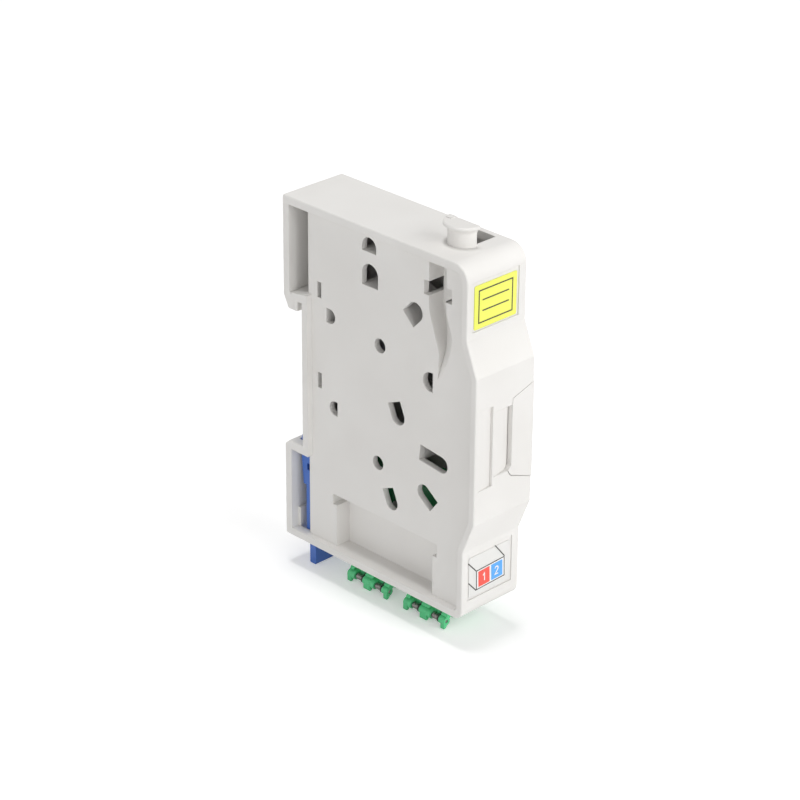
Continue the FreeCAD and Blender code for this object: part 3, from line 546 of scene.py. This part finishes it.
# %% Sweep a round wire along a path
def swept_wire(name, points, radius, sides=8):
    mesh = bpy.data.meshes.new(name)
    bm = bmesh.new()
    rings = []
    side = None
    for n, here in enumerate(points):
        ahead = (points[min(n + 1, len(points) - 1)] - points[max(n - 1, 0)]).normalized()
        if side is None:
            side = ahead.orthogonal().normalized()
        side = (side - ahead * side.dot(ahead)).normalized()
        other = ahead.cross(side)
        ring = []
        for k in range(sides):
            turn = math.tau * k / sides
            ring.append(bm.verts.new(here + (side * math.cos(turn) + other * math.sin(turn)) * radius))
        rings.append(ring)
    for first, second in zip(rings, rings[1:]):
        for k in range(sides):
            bm.faces.new([first[k - 1], first[k], second[k], second[k - 1]])
    bm.faces.new(rings[0])
    bm.faces.new(list(reversed(rings[-1])))
    bmesh.ops.recalc_face_normals(bm, faces=bm.faces)
    bm.to_mesh(mesh)
    bm.free()
    mesh.shade_smooth()
    mesh.materials.append(steel)
    piece = bpy.data.objects.new(name, mesh)
    bpy.context.scene.collection.objects.link(piece)
    return piece


print("a wire has", swept_wire.__defaults__[0], "sides")

# %% [markdown]
# A torsion spring sits on the hinge pin beside each shutter's ear and keeps the shutter
# shut. Its turns lie close together, and one leg runs up to the coupler. The helix
# starts at that leg, so wire and leg are one piece. The number of turns follows from
# the length of the barrel and the wire.

# %% Torsion springs on the hinge pins
WIRE = 0.00014
TURN_STEPS = 18
for joint in frame["joints"]:
    if joint["type"] != "hinge":
        continue
    node = joint["name"].replace("shutter_", "coupler_").replace("_hinge", "")
    node = node[:-1] + "_spring_" + node[-1]
    low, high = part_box(node)
    pin = Vector(joint["pos_m"])
    radius = pin.z - low.z - WIRE
    turns = round((high.y - low.y) / (2 * WIRE) - 1)
    climb = (high.y - low.y - 2 * WIRE) / turns
    path = [Vector((high.x - WIRE, low.y + WIRE, high.z - WIRE))]
    for step in range(turns * TURN_STEPS + 1):
        angle = math.radians(90) + math.tau * step / TURN_STEPS
        y = low.y + WIRE + climb * step / TURN_STEPS
        path.append(Vector((pin.x + math.cos(angle) * radius, y, pin.z + math.sin(angle) * radius)))
    coil = swept_wire(node + "_coil", path, WIRE)
    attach(coil, "base")
    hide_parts(node)
print("torsion springs of", turns, "turns, wire", WIRE * 2000, "mm")

# %% [markdown]
# The latch spring has its end turns closed so that it stands flat. When the latch is pulled
# down the spring gets shorter.

# %% Latch spring
LATCH_WIRE = 0.000225
LATCH_TURNS = 6
low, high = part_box("latch_spring")
middle = (low + high) / 2
radius = (high.x - low.x) / 2 - LATCH_WIRE
closed_height = 3 * 2 * LATCH_WIRE
path = []
for step in range(LATCH_TURNS * TURN_STEPS + 1):
    part = step / TURN_STEPS
    open_part = min(max((part - 1) / (LATCH_TURNS - 2), 0), 1)
    ends = (min(part, 1) + max(part - LATCH_TURNS + 1, 0)) * 2 * LATCH_WIRE
    z = low.z + LATCH_WIRE + ends + open_part * (high.z - low.z - closed_height)
    angle = math.tau * part
    path.append(Vector((middle.x + math.cos(angle) * radius, middle.y + math.sin(angle) * radius, z)))
coil = swept_wire("latch_spring_coil", path, LATCH_WIRE)
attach(coil, "base")
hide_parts("latch_spring")
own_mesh(coil)

# %% [markdown]
# ## Floor, world and lamps
# The box stands alone on white. The floor is white for the camera and still takes the
# shadow: a part of its brightness is emission that only the camera and shiny surfaces
# see, and the rest is plain diffuse, which a shadow darkens. From below the floor is clear, so that the
# underside of the box can be looked at too.

# %% Floor
FLOOR_HALF = 0.5
FLOOR_DROP = 0.0001
FLOOR_GREY = 0.82
FLOOR_GLOW = 0.32
floor_z = cad_box[0].z - FLOOR_DROP
floor_mesh = bpy.data.meshes.new("floor")
floor_mesh.from_pydata(
    [(x * FLOOR_HALF, y * FLOOR_HALF, floor_z) for x, y in ((-1, -1), (1, -1), (1, 1), (-1, 1))],
    [], [(0, 1, 2, 3)],
)
floor = bpy.data.objects.new("floor", floor_mesh)
bpy.context.scene.collection.objects.link(floor)


def floor_material():
    material = bpy.data.materials.new("white floor")
    material.use_nodes = True
    tree = material.node_tree
    tree.nodes.clear()
    output = add(tree, "ShaderNodeOutputMaterial")
    diffuse = add(tree, "ShaderNodeBsdfDiffuse")
    diffuse.inputs["Color"].default_value = (FLOOR_GREY, FLOOR_GREY, FLOOR_GREY, 1)
    glow = add(tree, "ShaderNodeEmission")
    path = add(tree, "ShaderNodeLightPath")
    seen = sum_node(tree, "ADD", path.outputs["Is Camera Ray"], path.outputs["Is Glossy Ray"])
    tree.links.new(sum_node(tree, "MULTIPLY", seen, FLOOR_GLOW), glow.inputs["Strength"])
    both = add(tree, "ShaderNodeAddShader")
    tree.links.new(diffuse.outputs[0], both.inputs[0])
    tree.links.new(glow.outputs[0], both.inputs[1])
    from_below = add(tree, "ShaderNodeNewGeometry")
    clear = add(tree, "ShaderNodeBsdfTransparent")
    mix = add(tree, "ShaderNodeMixShader")
    tree.links.new(from_below.outputs["Backfacing"], mix.inputs[0])
    tree.links.new(both.outputs[0], mix.inputs[1])
    tree.links.new(clear.outputs[0], mix.inputs[2])
    tree.links.new(mix.outputs[0], output.inputs["Surface"])
    return material


floor_mesh.materials.append(floor_material())
print("floor lies", FLOOR_DROP * 1000, "mm under the lowest point")

# %% [markdown]
# The world is a light tent whose walls are brighter than its roof, so upright faces get
# soft light from all round and the shadow under the box stays clear. The camera and
# mirror-like surfaces see pure white instead, so the backdrop has no grey horizon and
# the steel pins reflect a white room.

# %% World
HORIZON_LIGHT = 0.80
ZENITH_LIGHT = 0.15


def light_tent():
    world = bpy.data.worlds.new("light tent")
    world.use_nodes = True
    tree = world.node_tree
    tree.nodes.clear()
    output = add(tree, "ShaderNodeOutputWorld")
    direction = add(tree, "ShaderNodeTexCoord")
    parts = add(tree, "ShaderNodeSeparateXYZ")
    tree.links.new(direction.outputs["Generated"], parts.inputs["Vector"])
    tent = add(tree, "ShaderNodeBackground")
    tent.inputs["Color"].default_value = (1, 1, 1, 1)
    strength = ramp(tree, parts.outputs["Z"], 0.0, 1.0, HORIZON_LIGHT, ZENITH_LIGHT)
    tree.links.new(strength, tent.inputs["Strength"])
    white = add(tree, "ShaderNodeBackground")
    white.inputs["Color"].default_value = (1, 1, 1, 1)
    path = add(tree, "ShaderNodeLightPath")
    seen = sum_node(tree, "ADD", path.outputs["Is Camera Ray"], path.outputs["Is Glossy Ray"])
    mix = add(tree, "ShaderNodeMixShader")
    tree.links.new(seen, mix.inputs[0])
    tree.links.new(tent.outputs[0], mix.inputs[1])
    tree.links.new(white.outputs[0], mix.inputs[2])
    tree.links.new(mix.outputs[0], output.inputs["Surface"])
    return world


bpy.context.scene.world = light_tent()
print("tent light from", HORIZON_LIGHT, "down to", ZENITH_LIGHT)

# %% [markdown]
# Three large soft lamps shape the box: the front is the brightest side, the top comes
# next and the plate on the left is the greyest. Large disks give soft shadows. Each lamp
# is turned so that its own Z axis points away from the box.

# %% Lamps
# name, place in metres, width in metres, power in watts
LAMPS = [
    ("front lamp", (0.20, -1.90, 0.80), 2.0, 25.0),
    ("side lamp", (-2.00, -0.20, 0.30), 1.4, 4.8),
    ("top lamp", (-0.05, 0.05, 2.0), 0.5, 16.0),
]


def area_lamp(name, place, target, width, power):
    data = bpy.data.lights.new(name, "AREA")
    data.shape = "DISK"
    data.size = width
    data.energy = power
    lamp = bpy.data.objects.new(name, data)
    bpy.context.scene.collection.objects.link(lamp)
    lamp.location = place
    direction = Vector(place) - Vector(target)
    lamp.rotation_mode = "QUATERNION"
    lamp.rotation_quaternion = direction.to_track_quat("Z", "Y")


box_middle = (cad_box[0] + cad_box[1]) / 2
for name, place, width, power in LAMPS:
    area_lamp(name, place, box_middle, width, power)
print("lamps:", [lamp[0] for lamp in LAMPS])

# %% [markdown]
# A filmic view would grey the white floor and dull the two fields of the label. The
# plain view shows colours as they are written.

# %% View
bpy.context.scene.view_settings.view_transform = "Standard"
print("view:", bpy.context.scene.view_settings.view_transform)
